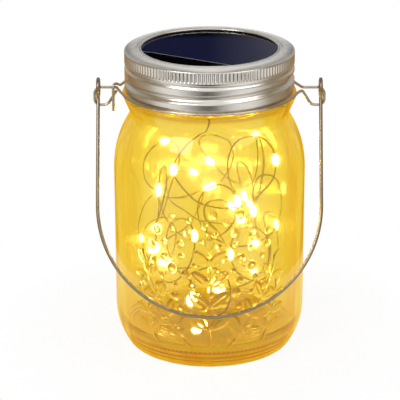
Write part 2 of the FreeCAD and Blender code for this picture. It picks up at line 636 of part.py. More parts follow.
knob = block("switch_knob", ("stem_side + knob_margin", "stem_side + knob_margin", "knob_height"),
             ("switch_travel / 2", "-board_offset", COVER + " - knob_gap - knob_height"))
nodes.append(joined("switch_slider", [stem, knob]))

# String grommet: a soft bush with a lip on each side of the cover.
bush = turned("string_grommet_blank", [
    ("string_wire / 2 + string_play", COVER + " - grommet_lip", None),
    ("grommet_radius + grommet_flare", COVER + " - grommet_lip", None),
    ("grommet_radius + grommet_flare", COVER, None),
    ("grommet_radius", COVER, None),
    ("grommet_radius", CUP_END, None),
    ("grommet_radius + grommet_flare", CUP_END, None),
    ("grommet_radius + grommet_flare", CUP_END + " + grommet_collar", None),
    ("string_wire / 2 + string_play", CUP_END + " + grommet_collar", None),
])
bush.Label = "string_grommet"
bush.setExpression("Placement.Base.y", bound("-grommet_offset"))
nodes.append(bush)

# Leads: two red and two black wires, from the panel and from the battery contacts to the board.
board_top = value(BOARD_TOP)
panel_under = value(RECESS)
leads_x = value(LEADS_X)
board_mid = -size["board_offset"]
lead, slack, spread = size["lead_wire"], size["lead_slack"], size["lead_spread"]
contact_mid = value(END_WALL) - size["contact_sheet"] / 2
contact_edge = size["battery_offset"] - size["contact_width"] / 2


def panel_lead(along):
    """A slack lead from the underside of the panel to the board."""
    rise = panel_under - board_top
    return round_wire(bent_route([
        vector(leads_x, along, panel_under),
        vector(leads_x, along, board_top + rise * 0.75),
        vector(leads_x + slack, along, board_top + rise * 0.5),
        vector(leads_x, along, board_top + rise * 0.25),
        vector(leads_x, along, board_top),
    ], [slack, slack, slack]), lead)


def battery_lead(side):
    """A lead from the edge of a battery contact across to the end of the board."""
    up = cradle_up + size["contact_tap"]
    end = size["board_length"] / 2 - size["board_tap"]
    reach = board_mid + size["lead_reach"]
    return round_wire(bent_route([
        vector(side * contact_mid, contact_edge, up),
        vector(side * contact_mid, contact_edge - size["lead_run"], up),
        vector(side * end, reach, up + size["lead_rise"]),
        vector(side * end, reach, board_top),
    ], [size["lead_bend"], size["lead_bend"]]), lead)


nodes.append(shaped("red_leads", Part.makeCompound([panel_lead(board_mid + spread), battery_lead(1)])))
nodes.append(shaped("black_leads", Part.makeCompound([panel_lead(board_mid - spread), battery_lead(-1)])))

# Lamp string: one thin wire from the board through the grommet, then wound in the jar as loops that
# lean about the vertical while their centre goes down and round the axis of the jar.
cover_under = value(COVER)
exit_y = -size["grommet_offset"]
loops = int(size["loop_count"])


def on_string(share):
    """Loops of varying radius about a guide that goes down and round the jar's axis."""
    phase = math.pi + 2 * math.pi * loops * share
    turn = -math.pi / 2 + 2 * math.pi * size["guide_turns"] * share
    ripple = math.sin(2 * math.pi * size["ripple_beats"] * share + size["ripple_phase"])
    swell = math.sin(2 * math.pi * size["swell_beats"] * share) + size["ripple_share"] * ripple
    loop = size["loop_radius"] + size["loop_swing"] * swell / (1 + size["ripple_share"])
    guide = size["guide_top"] + (size["guide_bottom"] - size["guide_top"]) * share
    up = size["tangle_top"] + (size["tangle_bottom"] - size["tangle_top"]) * share
    out = guide + size["loop_depth"] * math.cos(phase)
    side = loop * math.cos(phase)
    return vector(
        out * math.cos(turn) - side * math.sin(turn),
        out * math.sin(turn) + side * math.cos(turn),
        up + loop * math.sin(phase),
    )


wire = size["string_wire"]
solder_up = board_top + wire / 2 + size["string_play"]
free_start = vector(0, exit_y, cover_under - size["string_run"])
string_in = bent_route([
    vector(0, board_mid - size["board_width"] / 4, solder_up),
    vector(0, exit_y, solder_up),
    free_start,
], [size["string_bend"]])
string_shares = [i / (4 * loops) for i in range(4 * loops + 1)]
string_points = [free_start] + [on_string(k) for k in string_shares]
string_headings = [vector(0, 0, -1)] + [heading_at(on_string, k) for k in string_shares]
string_free = biarc_route(string_points, string_headings)
nodes.append(shaped("string_wire", round_wire(string_in + string_free, wire)))


def least_self_gap(edges, spacing, away, reach):
    """The least gap, up to reach, between stretches of a wire further apart along it than away."""
    samples = []
    for edge in edges:
        count = max(2, int(edge.Length / spacing))
        first, last = edge.FirstParameter, edge.LastParameter
        samples += [edge.valueAt(first + (last - first) * i / count) for i in range(count)]
    cells = {}
    least = reach
    for i, point in enumerate(samples):
        key = (int(point.x // reach), int(point.y // reach), int(point.z // reach))
        near = [j for a in (-1, 0, 1) for b in (-1, 0, 1) for c in (-1, 0, 1)
                for j in cells.get((key[0] + a, key[1] + b, key[2] + c), ())]
        least = min([least] + [(point - samples[j]).Length for j in near if i - j > away / spacing])
        cells.setdefault(key, []).append(i)
    return least


string_length = sum(edge.Length for edge in string_in + string_free)
string_gap = least_self_gap(string_free, spacing=0.7, away=8.0, reach=6.0)
print("string gap %.2f, length %.1f" % (string_gap - wire, string_length))

# Lamp drops: clear beads set along the string at one spacing, the last one closing its end.
drops = []
drop_count = int(size["drop_count"])
total = sum(edge.Length for edge in string_free)
first_drop = size["first_drop"]
spacing = (total - first_drop) / (drop_count - 1)
half, belly = size["drop_length"] / 2, size["drop_width"] / 2
travelled = 0.0
waiting = [first_drop + spacing * i for i in range(drop_count)]
for edge in string_free:
    while waiting and waiting[0] <= travelled + edge.Length + 1e-6:
        place = edge.getParameterByLength(min(waiting.pop(0) - travelled, edge.Length))
        centre, heading = edge.valueAt(place), edge.tangentAt(place)
        oval = Part.Ellipse(vector(0, 0, half), vector(belly, 0, 0), vector(0, 0, 0))
        outline = Part.ArcOfEllipse(oval, 0, math.pi).toShape()
        axis = Part.LineSegment(vector(0, 0, -half), vector(0, 0, half)).toShape()
        drop = Part.Face(Part.Wire([outline, axis])).revolve(vector(0, 0, 0), vector(0, 0, 1), 360)
        drop.Placement = FreeCAD.Placement(centre, FreeCAD.Rotation(vector(0, 0, 1), heading))
        drops.append(drop)
    travelled += edge.Length
nodes.append(shaped("led_drops", Part.makeCompound(drops)))

doc.recompute()
faults = []
for node in nodes:
    shape = node.Shape
    if "Invalid" in node.State or "Error" in node.State or shape.isNull() or not shape.isValid():
        faults.append(node.Label)
        continue
    shape.exportStep("parts/%s.step" % node.Label)
for thing in doc.Objects:
    if "Invalid" in thing.State or "Error" in thing.State:
        faults.append(thing.Label)
if faults:
    raise RuntimeError("not sound: " + ", ".join(faults))
for node in nodes:
    box = node.Shape.optimalBoundingBox()
    print("%-16s %d solids  x %.2f..%.2f  y %.2f..%.2f  z %.2f..%.2f" % (
        node.Label, len(node.Shape.Solids), box.XMin, box.XMax, box.YMin, box.YMax, box.ZMin, box.ZMax))
print("%d nodes" % len(nodes))
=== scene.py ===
import math

import bpy
import numpy as np
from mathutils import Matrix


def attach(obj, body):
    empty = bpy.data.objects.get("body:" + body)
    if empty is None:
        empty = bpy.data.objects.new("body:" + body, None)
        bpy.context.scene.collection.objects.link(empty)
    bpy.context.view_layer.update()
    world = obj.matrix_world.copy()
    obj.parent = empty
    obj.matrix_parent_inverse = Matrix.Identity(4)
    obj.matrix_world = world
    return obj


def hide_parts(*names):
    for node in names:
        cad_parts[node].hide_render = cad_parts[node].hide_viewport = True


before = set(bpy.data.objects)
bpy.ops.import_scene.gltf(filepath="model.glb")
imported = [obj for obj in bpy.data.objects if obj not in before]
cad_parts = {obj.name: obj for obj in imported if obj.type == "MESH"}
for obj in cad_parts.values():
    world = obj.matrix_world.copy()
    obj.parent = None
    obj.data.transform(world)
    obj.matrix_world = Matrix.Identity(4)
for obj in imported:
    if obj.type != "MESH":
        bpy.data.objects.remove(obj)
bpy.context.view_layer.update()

# The photographer's camera: a long lens about 0.8 m away, looking a little down on the lid.
# The jar stands slightly right of the middle of the picture, which the lens shift gives.
photo_px = 400
jar_axis_px = (209.5, 197.0)
camera_distance = 0.800
camera_elevation = math.radians(20.55)
camera_aim = np.array([0.0, 0.0, 0.065])

camera_data = bpy.data.cameras.new("photo_camera")
camera_data.sensor_width = 36.0
camera_data.lens = 163.5
camera_data.shift_x = (photo_px / 2 - jar_axis_px[0]) / photo_px
camera_data.shift_y = (jar_axis_px[1] - photo_px / 2) / photo_px
camera_data.clip_end = 10.0
camera = bpy.data.objects.new("photo_camera", camera_data)
bpy.context.scene.collection.objects.link(camera)
camera.location = camera_aim + camera_distance * np.array(
    [0.0, -math.cos(camera_elevation), math.sin(camera_elevation)])
camera.rotation_euler = (math.pi / 2 - camera_elevation, 0.0, 0.0)
bpy.context.scene.camera = camera

# Lamp string: a springy pair of enamelled wires twisted into one, 0.6 mm thick, soldered to the
# board and led through the grommet; in the jar it keeps the loops in which it was wound.
string_diameter = 0.0006
grommet_y, grommet_bottom = -0.0195, 0.1148
board_up = 0.12255
loop_count, points_per_loop = 17, 20
loop_radius, loop_swing, loop_depth = 0.0150, 0.0025, 0.0050
slow_swell, fast_swell, fast_share = 5.3, 11.7, 0.5
guide_radius = (0.021, 0.028)
guide_turns = 3.05
tangle_height = (0.085, 0.027)


def string_loops(share):
    """Points of the loops at shares of the string: each loop is a circle that leans about the
    vertical, carried on a guide that goes down the jar and three times round its axis; a slow and
    a fast wave make its radius swell and shrink."""
    phase = math.pi + 2 * math.pi * loop_count * share
    turn = -math.pi / 2 + 2 * math.pi * guide_turns * share
    slow_wave = np.sin(2 * math.pi * slow_swell * share)
    fast_wave = np.sin(2 * math.pi * fast_swell * share + 1.0)
    swell = slow_wave + fast_share * fast_wave
    loop = loop_radius + loop_swing * swell / (1 + fast_share)
    guide = guide_radius[0] + (guide_radius[1] - guide_radius[0]) * share
    sink = tangle_height[0] + (tangle_height[1] - tangle_height[0]) * share
    out = guide + loop_depth * np.cos(phase)
    up = sink + loop * np.sin(phase)
    side = loop * np.cos(phase)
    return np.stack([
        out * np.cos(turn) - side * np.sin(turn),
        out * np.sin(turn) + side * np.cos(turn),
        up,
    ], axis=-1)


# From the solder joint along the board, down through the grommet and over to the first loop.
lead_in = np.array([
    (0.0, -0.01125, board_up), (0.0, -0.0155, board_up), (0.0, grommet_y, board_up),
    (0.0, grommet_y, 0.1190), (0.0, grommet_y, grommet_bottom), (0.0, grommet_y, 0.1088),
    (-0.0035, -0.0190, 0.1015), (-0.0105, -0.0176, 0.0945),
])
loop_points = string_loops(np.linspace(0.0, 1.0, loop_count * points_per_loop + 1))
string_points = np.concatenate([lead_in, loop_points])

string_curve = bpy.data.curves.new("string_wire_line", "CURVE")
string_curve.dimensions = "3D"
string_curve.resolution_u = 4
spline = string_curve.splines.new("NURBS")
spline.points.add(len(string_points) - 1)
spline.points.foreach_set("co", np.insert(string_points, 3, 1.0, axis=1).ravel())
spline.order_u = 3
spline.use_endpoint_u = True
lamp_string = bpy.data.objects.new("lamp_string", string_curve)
bpy.context.scene.collection.objects.link(lamp_string)
string_line = bpy.data.meshes.new_from_object(lamp_string)
string_path = np.empty(3 * len(string_line.vertices), dtype=np.float32)
string_line.vertices.foreach_get("co", string_path)
string_path = string_path.reshape(-1, 3).astype(float)
string_curve.bevel_depth = string_diameter / 2
string_curve.bevel_resolution = 2
string_curve.use_fill_caps = True


def linear(hex_colour):
    """Linear RGBA of an sRGB hex colour."""
    rgb = np.array([int(hex_colour[i:i + 2], 16) for i in (1, 3, 5)]) / 255
    rgb = np.where(rgb <= 0.04045, rgb / 12.92, ((rgb + 0.055) / 1.055) ** 2.4)
    return (*rgb.tolist(), 1.0)


def add(tree, kind, settings=None, links=None):
    """Adds a node. Settings are its attributes, plain values of its sockets by name or number, or
    the (position, sRGB hex) stops of its ramp; links are outputs by the input's name or number."""
    made = tree.nodes.new(kind)
    for name, value in (settings or {}).items():
        if name == "stops":
            elements = made.color_ramp.elements
            for position, _ in value[2:]:
                elements.new(position)
            for element, (position, colour) in zip(elements, value):
                element.position = position
                element.color = linear(colour)
        elif isinstance(name, str) and hasattr(made, name):
            setattr(made, name, value)
        else:
            made.inputs[name].default_value = value
    for name, source in (links or {}).items():
        tree.links.new(source, made.inputs[name])
    return made


def new_material(name):
    """An empty node material, its tree and its output node."""
    material = bpy.data.materials.new(name)
    material.use_nodes = True
    material.node_tree.nodes.clear()
    output = material.node_tree.nodes.new("ShaderNodeOutputMaterial")
    return material, material.node_tree, output


# Enamelled copper: a brown-gold lacquer over bright wire, a little worn, so its colour drifts
# along the string every 6 mm or so.
enamel_drift = 0.006
enamel, tree, output = new_material("enamelled_copper_wire")
place = add(tree, "ShaderNodeTexCoord")
drift = add(tree, "ShaderNodeTexNoise", {"Scale": 1 / enamel_drift, "Detail": 3.0},
            {"Vector": place.outputs["Object"]})
tone = add(tree, "ShaderNodeValToRGB", {"stops": [(0.3, "#6E5220"), (0.7, "#A8843C")]},
           {"Fac": drift.outputs["Fac"]})
surface = add(tree, "ShaderNodeBsdfPrincipled", {"Metallic": 0.8, "Roughness": 0.35},
              {"Base Color": tone.outputs["Color"]})
tree.links.new(surface.outputs["BSDF"], output.inputs["Surface"])
string_curve.materials.append(enamel)

# Lamp drops: twenty-eight tiny lamps, each sealed with its two wires in a drop of clear resin
# that was left to set on the string; lit, each is a small warm white flame.
drop_count = 28
drop_half_length, drop_radius, drop_tip = 0.0025, 0.0015, 0.00002
drop_rings, drop_sides = 9, 12
first_drop, last_margin = 0.051, 0.0005
heading_reach, steep_heading = 0.0004, 0.9


def quad_mesh(name, vertices, quads):
    """A smooth mesh object of those vertices and faces, at the origin."""
    mesh = bpy.data.meshes.new(name)
    mesh.from_pydata(vertices.tolist(), [], quads.tolist())
    mesh.validate()
    mesh.shade_smooth()
    made = bpy.data.objects.new(name, mesh)
    bpy.context.scene.collection.objects.link(made)
    return made


def drop_surface(centres, headings):
    """Drops on a string: each is an oval turned about the heading of the string at its centre."""
    along = np.linspace(0.0, math.pi, drop_rings)
    around = np.arange(drop_sides) * 2 * math.pi / drop_sides
    steep = np.abs(headings[:, 2:]) >= steep_heading
    reference = np.where(steep, [[1.0, 0.0, 0.0]], [[0.0, 0.0, 1.0]])
    first = np.cross(headings, reference)
    first /= np.linalg.norm(first, axis=1, keepdims=True)
    second = np.cross(headings, first)
    radius = drop_radius * np.sin(along) + drop_tip
    axial = -drop_half_length * np.cos(along)
    ring = (first[:, None, :] * np.cos(around)[None, :, None]
            + second[:, None, :] * np.sin(around)[None, :, None])
    return (centres[:, None, None, :] + headings[:, None, None, :] * axial[None, :, None, None]
            + ring[:, None, :, :] * radius[None, :, None, None])


def along_string(distances):
    """Points on the string at those distances from its soldered end."""
    steps = np.linalg.norm(np.diff(string_path, axis=0), axis=1)
    travelled = np.concatenate([[0.0], np.cumsum(steps)])
    return np.stack([np.interp(distances, travelled, string_path[:, k]) for k in range(3)], axis=-1)


string_run = np.sum(np.linalg.norm(np.diff(string_path, axis=0), axis=1))
drop_places = np.linspace(first_drop, string_run - last_margin, drop_count)
ahead = along_string(drop_places + heading_reach)
behind = along_string(drop_places - heading_reach)
drop_headings = (ahead - behind) / np.linalg.norm(ahead - behind, axis=1, keepdims=True)
drop_points = drop_surface(along_string(drop_places), drop_headings)
index = np.arange(drop_count * drop_rings * drop_sides).reshape(drop_count, drop_rings, drop_sides)
index = np.concatenate([index, index[:, :, :1]], axis=2)
drop_quads = np.stack([
    index[:, :-1, :-1], index[:, :-1, 1:], index[:, 1:, 1:], index[:, 1:, :-1],
], axis=-1)
lamp_drops = quad_mesh("lamp_drops", drop_points.reshape(-1, 3), drop_quads.reshape(-1, 4))

# Clear resin lit from inside: the whole drop glows warm white, bright enough to show as a flame
# through the amber glass.
lit_resin, tree, output = new_material("lit_clear_resin")
surface = add(tree, "ShaderNodeBsdfPrincipled", {
    "Base Color": linear("#FFF1C8"), "Roughness": 0.2, "Emission Color": linear("#FFF4D6"),
    "Emission Strength": 40.0})
tree.links.new(surface.outputs["BSDF"], output.inputs["Surface"])
lamp_drops.data.materials.append(lit_resin)

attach(lamp_string, "solar_insert")
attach(lamp_drops, "solar_insert")
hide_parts("string_wire")
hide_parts("led_drops")

# Glass jar: pressed and blown amber glass, one wall about 3.3 mm thick, with a screw thread round
# its mouth, a flared bead under it that carries the hoop, and sprigs and beads pressed in low
# relief into the front; it stands on its foot ring.
jar_radius, jar_wall = 0.0417, 0.0033
heel_rise, body_top = 0.017, 0.080
foot_outer, foot_inner, push_up, floor_top = 0.0365, 0.0310, 0.002, 0.006
shoulder_radius, neck_radius, neck_fillet = 0.044, 0.0345, 0.0045
mouth_radius, mouth_fillet, inner_heel = 0.031, 0.006, 0.010
bead_base, bead_flare, bead_top = 0.1060, 0.1130, 0.1143
bead_radius, bead_round = 0.0375, 0.0003
finish_radius, rim_top, rim_round = 0.0343, 0.1296, 0.0008
thread_pitch, thread_turns, thread_start = 0.00508, 1.25, 0.12086
thread_rise, thread_half, thread_fade = 0.00095, 0.0015, 0.06
foot_ease_in, foot_ease_out = 0.0004, 0.0002
step_out, step_low, step_high, finish_start = 0.0003, 0.0001, 0.0003, 0.0008
axis_hole = 0.0002


def grid_mesh(name, points, wrap_rows=False, wrap_columns=False):
    """A smooth mesh object of quads on a grid of points (rows, columns, 3), closed where it wraps."""
    rows, columns = points.shape[:2]
    index = np.arange(rows * columns).reshape(rows, columns)
    if wrap_rows:
        index = np.concatenate([index, index[:1]])
    if wrap_columns:
        index = np.concatenate([index, index[:, :1]], axis=1)
    quads = np.stack([index[:-1, :-1], index[:-1, 1:], index[1:, 1:], index[1:, :-1]], axis=-1)
    return quad_mesh(name, points.reshape(-1, 3), quads.reshape(-1, 4))


def turned_surface(profile, angles):
    """The surface that a profile of (radius, height) sweeps round the vertical axis."""
    return np.stack([
        profile[:, :1] * np.cos(angles),
        profile[:, :1] * np.sin(angles),
        np.repeat(profile[:, 1:], len(angles), axis=1),
    ], axis=-1)


def arc(centre, radius, start, stop, count):
    """Points (radius, height) on a circular arc between two angles in degrees."""
    angle = np.radians(np.linspace(start, stop, count))
    return np.stack([centre[0] + radius * np.cos(angle), centre[1] + radius * np.sin(angle)], axis=-1)


def run(start, stop, count):
    """Points (radius, height) evenly along a straight run."""
    share = np.linspace(0.0, 1.0, count)[:, None]
    return np.array(start) * (1 - share) + np.array(stop) * share


def shoulder(radius, bend, body, neck):
    """The shoulder arc and the fillet into the neck, tangent to each other and to both walls."""
    angle = math.degrees(math.acos(1 - (body - neck) / (radius + bend)))
    rise = (radius + bend) * math.sin(math.radians(angle))
    curve = arc((body - radius, body_top), radius, 0.0, angle, 16)
    fillet = arc((neck + bend, body_top + rise), bend, 180.0 + angle, 180.0, 7)
    return np.concatenate([curve, fillet[1:]])


# The outer profile runs from the axis up to the rim, the inner one from the rim down to the axis.
# The lower part of the heel, which has the grooves, has the finer rows.
grooved_heel = 0.65
heel_radius = ((jar_radius - foot_outer) ** 2 + heel_rise ** 2) / (2 * (jar_radius - foot_outer))
heel_angle = -math.degrees(math.asin(heel_rise / heel_radius))
heel_split = grooved_heel * heel_angle
heel_centre = (jar_radius - heel_radius, heel_rise)
cup_radius = (foot_inner ** 2 + push_up ** 2) / (2 * push_up)
cup_angle = math.degrees(math.asin(foot_inner / cup_radius))
outer_profile = np.concatenate([
    arc((0.0, push_up - cup_radius), cup_radius, 90.0, 90.0 - cup_angle, 6),
    run((foot_inner + foot_ease_in, 0.0), (foot_outer - foot_ease_out, 0.0), 4),
    arc(heel_centre, heel_radius, heel_angle, heel_split, 25)[:-1],
    arc(heel_centre, heel_radius, heel_split, 0.0, 23),
    run((jar_radius, heel_rise), (jar_radius, body_top), 117)[1:-1],
    shoulder(shoulder_radius, neck_fillet, jar_radius, neck_radius),
    run((neck_radius, bead_base), (bead_radius, bead_flare), 10),
    arc((bead_radius - bead_round, bead_top - bead_round), bead_round, 0.0, 90.0, 5),
    run((finish_radius + step_out, bead_top + step_low), (finish_radius, bead_top + step_high), 2),
    run((finish_radius, bead_top + finish_start), (finish_radius, rim_top - rim_round), 24),
    arc((finish_radius - rim_round, rim_top - rim_round), rim_round, 0.0, 90.0, 6)[1:],
])
inner_body = jar_radius - jar_wall
heel_top = floor_top + inner_heel
inner_profile = np.concatenate([
    arc((mouth_radius + rim_round, rim_top - rim_round), rim_round, 90.0, 180.0, 6),
    shoulder(shoulder_radius - jar_wall, mouth_fillet, inner_body, mouth_radius)[::-1],
    run((inner_body, body_top), (inner_body, heel_top), 14)[1:-1],
    arc((inner_body - inner_heel, heel_top), inner_heel, 0.0, -90.0, 12),
    run((inner_body - inner_heel, floor_top), (axis_hole, floor_top), 6)[1:],
])

# The pressed design, in metres across the unrolled wall and up it.
stem_radius, stem_height = 0.0006, 0.0006
leaf_height, leaf_slimness, leaf_taper, leaf_lean = 0.0009, 0.42, 0.35, math.radians(52)
midrib_width, midrib_depth = 0.0006, 0.45
first_pair, spare_pair, least_half = 0.8, 0.6, 1e-6
tip_place, tip_length, tip_width = 0.96, 0.7, 0.28
# Each sprig: its foot (across, up), lean in radians, length, pairs of leaves, leaf length and bow.
sprigs = [
    ((0.0, 0.012), 0.0, 0.046, 4, 0.0125, 0.0),
    ((-0.008, 0.011), -0.55, 0.043, 4, 0.0110, -0.002),
    ((0.008, 0.011), 0.55, 0.043, 4, 0.0110, 0.002),
    ((-0.024, 0.012), -0.30, 0.026, 3, 0.0085, -0.001),
    ((0.024, 0.012), 0.30, 0.026, 3, 0.0085, 0.001),
]
golden_angle = 2.39996
berry_count, berry_spacing, berry_up, berry_squash = 64, 0.0042, 0.049, 0.75
berry_radius, berry_spread, berry_beat, berry_height = 0.0013, 0.0005, 1.7, 0.0009
pearls_each_side, pearl_step, pearl_up = 20, 0.0021, 0.0075
pearl_radius, pearl_height = 0.0010, 0.0006
side_fade = 0.4
foot_grooves, groove_cut, groove_width = (0.0017, 0.0036, 0.0058), 0.0004, 0.00045


def leaf_relief(across, up, foot, lean, length, width):
    """Height of a pointed leaf: a lens outline about its midrib, domed, creased down the middle."""
    along = ((across - foot[0]) * math.sin(lean) + (up - foot[1]) * math.cos(lean)) / length
    aside = ((across - foot[0]) * math.cos(lean) - (up - foot[1]) * math.sin(lean)) / width
    half = np.where((along > 0) & (along < 1), 2.0 * along * (1 - along) ** 0.8, 0.0)
    inside = np.clip(1 - (aside / np.maximum(half, least_half)) ** 2, 0.0, 1.0) * (half > 0)
    crease = 1 - midrib_depth * np.exp(-(aside * width / midrib_width) ** 2)
    return leaf_height * np.sqrt(inside) * crease


def bead_relief(across, up, centre, radius, height):
    """Height of a round bead: a half ball flattened to that height."""
    reach = ((across - centre[0]) ** 2 + (up - centre[1]) ** 2) / radius ** 2
    return height * np.sqrt(np.clip(1 - reach, 0.0, 1.0))


def stem_relief(across, up, start, lean, length, bow):
    """Height of a stem: a round cord along a shallow parabola from start, leaning by an angle."""
    along = (across - start[0]) * math.sin(lean) + (up - start[1]) * math.cos(lean)
    aside = (across - start[0]) * math.cos(lean) - (up - start[1]) * math.sin(lean)
    share = along / length
    middle = bow * 4 * share * (1 - share)
    within = (share > 0) & (share < 1)
    inside = np.clip(1 - ((aside - middle) / stem_radius) ** 2, 0.0, 1.0) * within
    return stem_height * np.sqrt(inside)


def sprig_relief(across, up, start, lean, length, pairs, leaf, bow):
    """A sprig: a bowed stem, pairs of leaves that shrink towards the tip, and a leaf at the end."""
    height = stem_relief(across, up, start, lean, length, bow)
    for step in range(pairs):
        share = (step + first_pair) / (pairs + spare_pair)
        shift = bow * 4 * share * (1 - share)
        foot = (start[0] + length * share * math.sin(lean) + shift * math.cos(lean),
                start[1] + length * share * math.cos(lean) - shift * math.sin(lean))
        size = leaf * (1.0 - leaf_taper * share)
        for side in (-1, 1):
            blade = leaf_relief(across, up, foot, lean + side * leaf_lean, size, size * leaf_slimness)
            height = np.maximum(height, blade)
    tip = (start[0] + length * tip_place * math.sin(lean),
           start[1] + length * tip_place * math.cos(lean))
    end_leaf = leaf_relief(across, up, tip, lean, leaf * tip_length, leaf * tip_width)
    return np.maximum(height, end_leaf)


def jar_relief(across, up):
    """The pressed design on the front: five sprigs in a fan, beads scattered over them in a
    sunflower spiral, and a row of pearls round the heel; it grows flatter towards the sides."""
    height = np.zeros_like(across)
    for sprig in sprigs:
        height = np.maximum(height, sprig_relief(across, up, *sprig))
    for step in range(berry_count):
        reach = berry_spacing * math.sqrt(step + 0.5)
        centre = (reach * math.sin(golden_angle * step),
                  berry_up + berry_squash * reach * math.cos(golden_angle * step))
        radius = berry_radius + berry_spread * math.cos(berry_beat * step)
        height = np.maximum(height, bead_relief(across, up, centre, radius, berry_height))
    for step in range(-pearls_each_side, pearls_each_side + 1):
        pearl = bead_relief(across, up, (pearl_step * step, pearl_up), pearl_radius, pearl_height)
        height = np.maximum(height, pearl)
    facing = (1 + side_fade) * np.cos(across / jar_radius) - side_fade
    return height * np.clip(facing, 0.0, 1.0)


def foot_rings(up):
    """Height of the three grooves turned round the foot: each is a shallow bell in section."""
    return sum(-groove_cut * np.exp(-((up - middle) / groove_width) ** 2) for middle in foot_grooves)


def thread_ridge(heights, angles):
    """Radius added by the screw thread: a rounded ridge on a right-handed helix, faded at its ends."""
    radius = np.zeros((len(heights), len(angles)))
    for turn in (0.0, 1.0):
        share = (np.mod(angles - math.pi / 2, 2 * math.pi) / (2 * math.pi) + turn)
        middle = thread_start + thread_pitch * share
        fade = np.clip(np.minimum(share, thread_turns - share) / thread_fade, 0.0, 1.0)
        reach = np.clip(1 - ((heights[:, None] - middle) / thread_half) ** 2, 0.0, 1.0)
        radius = np.maximum(radius, thread_rise * np.sqrt(reach) * fade)
    return radius


# Each wave of the blown inside: how many go round the wall, and radians of drift per metre up.
wall_waves = ((7, 30.0), (12, -55.0), (19, 20.0))
wave_share, wave_top, wave_top_fade, wave_floor_fade = 0.020, 0.100, 0.015, 0.012


def inner_waves(profile, angles):
    """Share added to the inside radius where the glass was blown: three slow waves round the wall
    that drift with height, the longest the highest, faded out at the shoulder and the floor."""
    up = profile[:, 1:]
    waves = sum(np.cos(count * angles + drift * up) / count for count, drift in wall_waves)
    fade = (np.clip((wave_top - up) / wave_top_fade, 0.0, 1.0)
            * np.clip((up - floor_top) / wave_floor_fade, 0.0, 1.0))
    return wave_share * waves * fade


# The front, which carries the design, has far more columns than the plain back.
front_half_angle, front_count, back_count = math.radians(58), 277, 52
front_columns = np.linspace(-front_half_angle, front_half_angle, front_count)
back_columns = np.linspace(front_half_angle, 2 * math.pi - front_half_angle, back_count)[1:-1]
jar_angles = np.concatenate([front_columns, back_columns]) - math.pi / 2

outer_up = outer_profile[:, 1]
across = jar_radius * (jar_angles + math.pi / 2)
across = np.where(across > math.pi * jar_radius, across - 2 * math.pi * jar_radius, across)
relief = jar_relief(*np.broadcast_arrays(across[None, :], outer_up[:, None]))
relief += foot_rings(outer_up)[:, None]
relief_low, relief_high, relief_in = 0.0004, 0.090, foot_inner + 0.002
thread_clear, least_radius = 0.0005, 1e-4
body_rows = (outer_up > relief_low) & (outer_up < relief_high) & (outer_profile[:, 0] > relief_in)
finish_rows = (outer_up > bead_top + thread_clear) & (outer_up < rim_top - rim_round)
relief = relief * body_rows[:, None]
swell = relief + thread_ridge(outer_up, jar_angles) * finish_rows[:, None]
outer = turned_surface(outer_profile, jar_angles)
outer[..., :2] *= (1 + swell / np.maximum(outer_profile[:, :1], least_radius))[..., None]
inner = turned_surface(inner_profile, jar_angles)
inner[..., :2] *= 1 + inner_waves(inner_profile, jar_angles)[..., None]
jar = grid_mesh("jar_glass", np.concatenate([outer, inner]), wrap_rows=True, wrap_columns=True)

# The attribute is painted shade, which darkens the glass: the slope of the relief, from 0 to 1 at
# the steepest, fading to the sides; the bead under the hoop, where the glass is thick, has it too, as
# painted shade there.
steepest, least_rise = 1.2, 1e-5
hoop_shade, hoop_shade_start, hoop_shade_rise = 0.85, 0.1095, 0.002
rise_up = np.gradient(relief, axis=0) / np.maximum(np.gradient(outer_up), least_rise)[:, None]
rise_across = np.gradient(relief, axis=1) / np.abs(np.gradient(across))[None, :]
edge_shade_share = np.clip(np.hypot(rise_up, rise_across) / steepest, 0.0, 1.0)
edge_shade_share = edge_shade_share * np.cos(across / jar_radius).clip(0.0) ** 2
painted_hoop_shade = hoop_shade * np.clip((outer_up - hoop_shade_start) / hoop_shade_rise, 0.0, 1.0)
edge_shade_share = np.maximum(edge_shade_share, painted_hoop_shade[:, None])
painted_shade_attribute = jar.data.attributes.new("relief_edge", "FLOAT", "POINT")
painted_shade_attribute.data.foreach_set("value", np.concatenate([edge_shade_share, np.zeros(inner.shape[:2])]).ravel())

# Amber glass: clear and fire-polished, so edges are sharp, with a slight haze that spreads the
# lamps' light; the colour is in the depth of the glass, which is why the heel, seen through more of
# it, is deeper than the walls; the rims have a painted amber glow in drawn streaks, for light led along
# the wall.
haze_size, streak_width, streak_stretch = 0.012, 0.005, 0.12
glass, tree, output = new_material("amber_pressed_glass")
edge = add(tree, "ShaderNodeAttribute", {"attribute_name": "relief_edge"})
# Painted shade: the tone goes dark amber where the relief is steep and on the bead under the hoop.
tone = add(tree, "ShaderNodeValToRGB", {"stops": [
    (0.0, "#FFF2D4"), (0.45, "#FCE09C"), (0.8, "#DCA848"), (1.0, "#8A5C18")]},
    {"Fac": edge.outputs["Fac"]})
polished = add(tree, "ShaderNodeBsdfPrincipled", {
    "Roughness": 0.03, "IOR": 1.5, "Transmission Weight": 1.0}, {"Base Color": tone.outputs["Color"]})
hazy = add(tree, "ShaderNodeBsdfPrincipled", {
    "Base Color": linear("#FFEAB0"), "Roughness": 0.25, "IOR": 1.5, "Transmission Weight": 1.0})
place = add(tree, "ShaderNodeTexCoord")
clouds = add(tree, "ShaderNodeTexNoise", {"Scale": 1 / haze_size, "Detail": 2.0},
             {"Vector": place.outputs["Object"]})
haze = add(tree, "ShaderNodeMapRange", {"To Min": 0.12, "To Max": 0.20}, {"Value": clouds.outputs["Fac"]})
pressed = add(tree, "ShaderNodeMixShader", links={
    0: haze.outputs["Result"], 1: polished.outputs["BSDF"], 2: hazy.outputs["BSDF"]})
